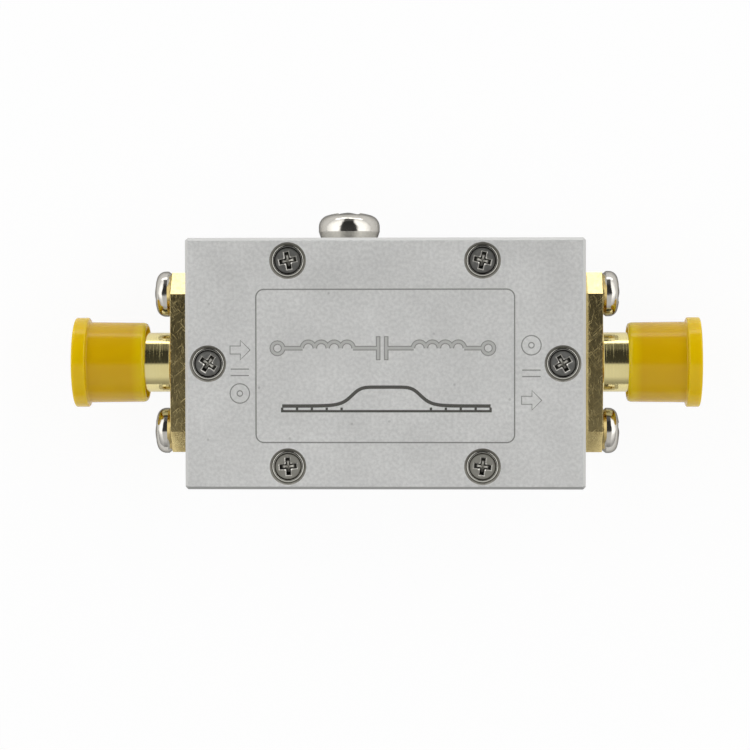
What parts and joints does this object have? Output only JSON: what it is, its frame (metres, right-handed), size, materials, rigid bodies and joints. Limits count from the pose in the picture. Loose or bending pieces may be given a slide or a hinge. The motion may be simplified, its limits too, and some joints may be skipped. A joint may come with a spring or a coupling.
{
  "type": "rf bandpass filter",
  "caption": "Inline radio-frequency bandpass filter in a milled metal case with a screwed lid, a threaded coaxial jack and push-on dust cap at each end, and an earth screw.",
  "frame": {"origin": "centre of the flat back of the case", "axes": "+X along the jacks from input to output, +Y towards the side with the earth screw, +Z out of the lid"},
  "size_m": [0.0558, 0.0244, 0.012],
  "materials": {
    "case_metal": "fine blasted",
    "lid_metal": "fine blasted with bright bevels",
    "lid_screw_steel": "dark plated, turned",
    "plated_steel": "bright plated",
    "jack_gold": "gold plated, turned, finely scratched",
    "white_insulator": "smooth waxy",
    "contact_gold": "gold plated",
    "cap_plastic": "satin moulded, slightly translucent",
    "board_laminate": "satin solder mask",
    "board_copper": "gold flashed copper",
    "package_ceramic": "matt",
    "package_cover": "gold plated",
    "coil_ceramic": "matt",
    "capacitor_ceramic": "matt",
    "tin": "tinned",
    "solder": "bright solder"
  },
  "bodies": {
    "filter": {"housing": "case_metal", "lid": "lid_metal", "lid_screws": "lid_screw_steel", "earth_screw": "plated_steel", "input_jack_shell": "jack_gold", "input_insulator": "white_insulator", "input_contact": "contact_gold", "input_flange_screws": "plated_steel", "output_jack_shell": "jack_gold", "output_insulator": "white_insulator", "output_contact": "contact_gold", "output_flange_screws": "plated_steel", "circuit_board": "board_laminate", "earth_copper": "board_copper", "input_track": "board_copper", "output_track": "board_copper", "filter_package": "package_ceramic", "filter_cover": "package_cover", "matching_coils": "coil_ceramic", "matching_capacitors": "capacitor_ceramic", "chip_ends": "tin", "input_solder_joint": "solder", "output_solder_joint": "solder", "board_screws": "plated_steel"},
    "input_cap": {"input_dust_cap": "cap_plastic"},
    "output_cap": {"output_dust_cap": "cap_plastic"}
  },
  "joints": [
    {"name": "input_cap_pull", "type": "slide", "parent": "filter", "child": "input_cap", "axis": [-1, 0, 0], "range_m": [0, 0.02]},
    {"name": "output_cap_pull", "type": "slide", "parent": "filter", "child": "output_cap", "axis": [1, 0, 0], "range_m": [0, 0.02]}
  ]
}
